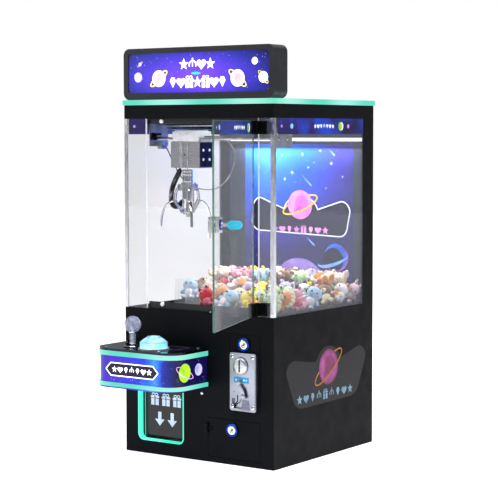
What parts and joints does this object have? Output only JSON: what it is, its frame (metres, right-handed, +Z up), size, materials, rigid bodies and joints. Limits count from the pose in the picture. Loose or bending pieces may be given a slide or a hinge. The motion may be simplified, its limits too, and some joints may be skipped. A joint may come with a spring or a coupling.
{
  "type": "claw crane machine",
  "caption": "Free-standing claw crane cabinet: glazed prize cabin with a gantry claw, hinged glass door, lit sign, joystick panel, coin and cash doors and a prize outlet.",
  "frame": {"origin": "centre of the cabinet's underside, on the floor", "axes": "+X to the right along the front, +Y to the back, +Z up; the front faces -Y"},
  "size_m": [0.4919, 0.6786, 0.87],
  "materials": {
    "black_powder_coat": "satin powder coat",
    "dark_trim": "matt moulded",
    "deck_board": "matt board",
    "screw_steel": "zinc plated",
    "inlet_plastic": "moulded",
    "rocker_red": "gloss",
    "psu_case": "perforated case",
    "circuit_board": "solder mask",
    "galvanised_tray": "galvanised",
    "clear_acrylic": "polished",
    "light_green": "diffusing, lit",
    "flap_black": "smoked",
    "backdrop_print": "printed",
    "tempered_glass": "clear",
    "bright_trim": "bright anodised",
    "hinge_black": "black",
    "sign_print": "printed, lit",
    "plush": "short pile",
    "zinc_steel": "bright zinc",
    "panel_print": "printed film",
    "panel_top": "gloss film",
    "chrome_steel": "polished",
    "clear_resin": "clear",
    "dome_cyan": "translucent, lit",
    "key_cyan": "gloss",
    "stainless": "brushed stainless",
    "motor_black": "black",
    "white_nylon": "moulded nylon",
    "cord_black": "curly lead",
    "lead_dark": "two-core lead",
    "line_dark": "braided line"
  },
  "bodies": {
    "cabinet": {"base_cabinet": "black_powder_coat", "rear_cover": "black_powder_coat", "screws": "screw_steel", "power_inlet": "inlet_plastic", "power_supply": "psu_case", "control_board": "circuit_board", "cash_box": "galvanised_tray", "playfield_deck": "deck_board", "prize_chute": "zinc_steel", "chute_guard": "clear_acrylic", "outlet_light": "light_green", "rear_columns": "black_powder_coat", "backdrop": "backdrop_print", "side_glass": "tempered_glass", "front_glass": "tempered_glass", "corner_trims": "bright_trim", "door_stops": "dark_trim", "fixed_hinges": "hinge_black", "header_frame": "black_powder_coat", "roof_light": "light_green", "roof_lid": "black_powder_coat", "sign_housing": "dark_trim", "sign_face": "sign_print", "soft_toys": "plush", "gantry_rails": "zinc_steel", "control_box": "panel_print", "control_top": "panel_top", "control_lights": "light_green", "joystick_housing": "dark_trim", "button_housing": "dark_trim"},
    "power_rocker": {"rocker_paddle": "rocker_red"},
    "outlet_flap": {"prize_flap": "flap_black"},
    "joystick_yoke": {"joystick_gimbal": "zinc_steel"},
    "joystick": {"joystick_stick": "chrome_steel", "joystick_ball": "clear_resin"},
    "push_button": {"button_dome": "dome_cyan"},
    "glass_door": {"door_glass": "tempered_glass", "door_clamps": "hinge_black", "door_lock": "chrome_steel"},
    "door_key_turn": {"door_key": "key_cyan"},
    "coin_door_leaf": {"coin_door": "black_powder_coat", "coin_acceptor": "chrome_steel"},
    "coin_cam": {"coin_lock_cam": "zinc_steel"},
    "return_lever": {"coin_lever": "zinc_steel"},
    "cash_door_leaf": {"cash_door": "black_powder_coat"},
    "cash_cam": {"cash_lock_cam": "zinc_steel"},
    "bridge": {"bridge_frame": "zinc_steel", "bridge_motor": "motor_black"},
    "bridge_shaft": {"drive_shaft": "zinc_steel"},
    "trolley": {"trolley_box": "stainless", "trolley_housing": "white_nylon", "trolley_lead": "lead_dark"},
    "winch": {"winch_drum": "motor_black"},
    "claw": {"claw_head": "chrome_steel", "hoist_line": "line_dark", "curly_cord": "cord_black"},
    "collar": {"claw_collar": "chrome_steel"},
    "left_finger": {"finger_1": "chrome_steel"},
    "back_finger": {"finger_2": "chrome_steel"},
    "front_finger": {"finger_3": "chrome_steel"}
  },
  "joints": [
    {"name": "power_rocker", "type": "hinge", "parent": "cabinet", "child": "power_rocker", "pos_m": [-0.066, 0.195, 0.058], "axis": [1, 0, 0], "range_deg": [0, 16]},
    {"name": "outlet_flap", "type": "hinge", "parent": "cabinet", "child": "outlet_flap", "pos_m": [-0.0995, -0.178, 0.148], "axis": [1, 0, 0], "range_deg": [0, 60]},
    {"name": "joystick_y", "type": "hinge", "parent": "cabinet", "child": "joystick_yoke", "pos_m": [-0.1205, -0.262, 0.222], "axis": [1, 0, 0], "range_deg": [-12, 12], "stiffness_Nm_per_rad": 0.6},
    {"name": "joystick_x", "type": "hinge", "parent": "joystick_yoke", "child": "joystick", "pos_m": [-0.1205, -0.262, 0.222], "axis": [0, 1, 0], "range_deg": [-12, 12], "stiffness_Nm_per_rad": 0.6},
    {"name": "push_button", "type": "slide", "parent": "cabinet", "child": "push_button", "axis": [0, 0, -1], "range_m": [0, 0.0035], "stiffness_N_per_m": 600, "springref_m": -0.003},
    {"name": "glass_door", "type": "hinge", "parent": "cabinet", "child": "glass_door", "pos_m": [0.156, -0.1993, 0.5], "axis": [0, 0, 1], "range_deg": [-110, 5]},
    {"name": "door_key", "type": "hinge", "parent": "glass_door", "child": "door_key_turn", "pos_m": [0.2467, -0.46107, 0.519], "axis": [-0.9397, -0.342, 0], "range_deg": [0, 90]},
    {"name": "coin_door", "type": "hinge", "parent": "cabinet", "child": "coin_door_leaf", "pos_m": [0.088, -0.1935, 0.195], "axis": [0, 0, 1], "range_deg": [-85, 0]},
    {"name": "coin_lock", "type": "hinge", "parent": "coin_door_leaf", "child": "coin_cam", "pos_m": [0.1214, -0.185, 0.2553], "axis": [0, 1, 0], "range_deg": [0, 90]},
    {"name": "return_lever", "type": "hinge", "parent": "coin_door_leaf", "child": "return_lever", "pos_m": [0.1166, -0.2, 0.177], "axis": [0, 1, 0], "range_deg": [0, 15], "stiffness_Nm_per_rad": 0.03, "springref_deg": -11.46},
    {"name": "cash_door", "type": "hinge", "parent": "cabinet", "child": "cash_door_leaf", "pos_m": [0.026, -0.198, 0.0535], "axis": [0, 0, 1], "range_deg": [-100, 0]},
    {"name": "cash_lock", "type": "hinge", "parent": "cash_door_leaf", "child": "cash_cam", "pos_m": [0.0914, -0.185, 0.074], "axis": [0, 1, 0], "range_deg": [0, 90]},
    {"name": "bridge_travel", "type": "slide", "parent": "cabinet", "child": "bridge", "axis": [0, 1, 0], "range_m": [-0.02, 0.21]},
    {"name": "shaft_turn", "type": "hinge", "parent": "bridge", "child": "bridge_shaft", "pos_m": [0, -0.091, 0.7073], "axis": [1, 0, 0], "range_deg": [-1750, 180]},
    {"name": "trolley_travel", "type": "slide", "parent": "bridge", "child": "trolley", "axis": [1, 0, 0], "range_m": [-0.03, 0.19], "deforming": ["trolley_lead"]},
    {"name": "winch_turn", "type": "hinge", "parent": "trolley", "child": "winch", "pos_m": [-0.075, -0.115, 0.644], "axis": [0, 1, 0], "range_deg": [-640, 10]},
    {"name": "hoist", "type": "slide", "parent": "trolley", "child": "claw", "axis": [0, 0, 1], "range_m": [-0.11, 0], "deforming": ["curly_cord", "hoist_line"]},
    {"name": "grip", "type": "hinge", "parent": "claw", "child": "left_finger", "pos_m": [-0.1019, -0.11953, 0.5735], "axis": [0.2588, -0.9659, 0], "range_deg": [0, 32], "stiffness_Nm_per_rad": 0.08, "springref_deg": -34.38},
    {"name": "grip_back", "type": "hinge", "parent": "claw", "child": "back_finger", "pos_m": [-0.08047, -0.0981, 0.5735], "axis": [-0.9659, 0.2588, 0], "range_deg": [0, 32]},
    {"name": "grip_front", "type": "hinge", "parent": "claw", "child": "front_finger", "pos_m": [-0.07263, -0.12737, 0.5735], "axis": [0.7071, 0.7071, 0], "range_deg": [0, 32]},
    {"name": "collar_slide", "type": "slide", "parent": "claw", "child": "collar", "axis": [0, 0, 1], "range_m": [-0.0069, 0.0005]}
  ],
  "couplings": [
    {"joint": "shaft_turn", "follows": "bridge_travel", "rad_per_m": -142.86},
    {"joint": "winch_turn", "follows": "hoist", "rad_per_m": 100},
    {"joint": "grip_back", "follows": "grip", "ratio": 1},
    {"joint": "grip_front", "follows": "grip", "ratio": 1},
    {"joint": "collar_slide", "follows": "grip", "m_per_rad": -0.012175}
  ]
}
